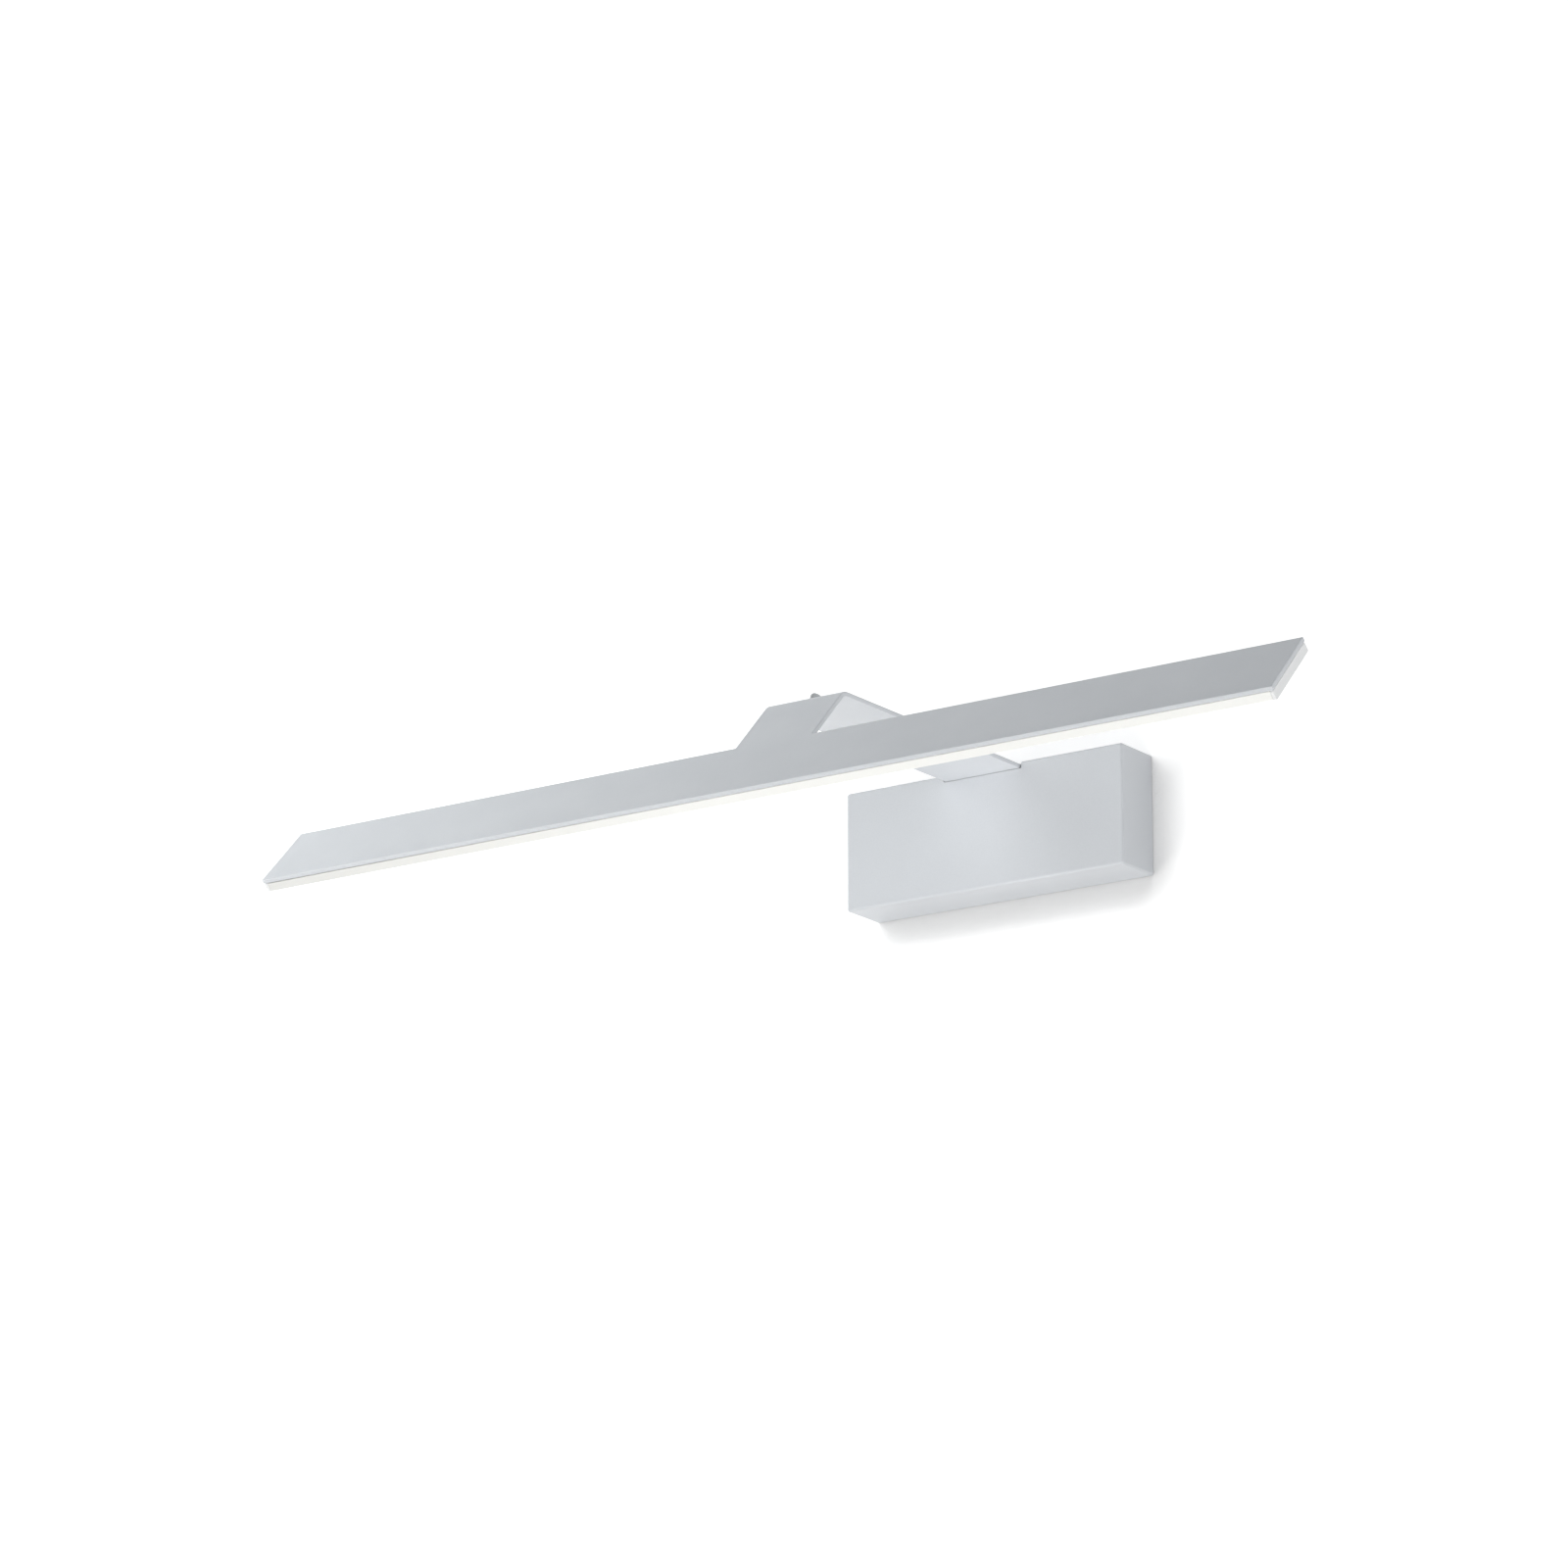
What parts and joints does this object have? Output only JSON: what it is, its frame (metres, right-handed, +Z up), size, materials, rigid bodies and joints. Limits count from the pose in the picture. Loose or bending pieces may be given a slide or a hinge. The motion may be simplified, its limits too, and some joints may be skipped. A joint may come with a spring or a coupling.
{
  "type": "led wall light",
  "caption": "Slim wall light for above a mirror or picture: flat canopy box, folded sheet arm and a long tilted bar with an opal tray under it.",
  "frame": {"origin": "centre of the backplate's rear face, on the wall", "axes": "+X along the bar to the viewer's right as seen from the front, +Y into the wall, +Z up"},
  "size_m": [0.6, 0.2466, 0.0733],
  "materials": {
    "paint": "satin",
    "cap_plastic": "matte",
    "opal": "matte",
    "zinc": "zinc plated",
    "steel": "bright",
    "aluminium": "mill finish",
    "board": "matte",
    "case": "matte",
    "block": "gloss",
    "rubber": "matte",
    "brass": "bright",
    "brown_wire": "matte",
    "blue_wire": "matte",
    "green_wire": "matte",
    "lead": "matte"
  },
  "bodies": {
    "light": {"backplate": "zinc", "folded_arm": "paint", "arm_washer_left": "steel", "arm_washer_right": "steel", "arm_nut_left": "zinc", "arm_nut_right": "zinc", "diffuser": "opal", "end_cap_left": "cap_plastic", "end_cap_right": "cap_plastic", "led_carrier": "aluminium", "led_board": "board", "driver_case": "case", "driver_screw_left": "steel", "driver_screw_right": "steel", "terminal_block": "block", "terminal_screw_1": "brass", "terminal_screw_2": "brass", "terminal_screw_3": "brass", "earth_tag": "steel", "earth_nut": "zinc", "cable_grommet": "rubber", "lead_bush": "rubber", "lead_clip_1": "cap_plastic", "lead_clip_2": "cap_plastic", "lead_clip_3": "cap_plastic", "live_wire": "brown_wire", "neutral_wire": "blue_wire", "earth_wire": "green_wire", "led_lead": "lead"},
    "cover": {"cover": "paint", "cover_screw_left": "steel", "cover_screw_right": "steel", "cover_nut_left": "zinc", "cover_nut_right": "zinc"}
  },
  "joints": [
    {"name": "cover_slide", "type": "slide", "parent": "light", "child": "cover", "axis": [0, -1, 0], "range_m": [0, 0.14]}
  ]
}
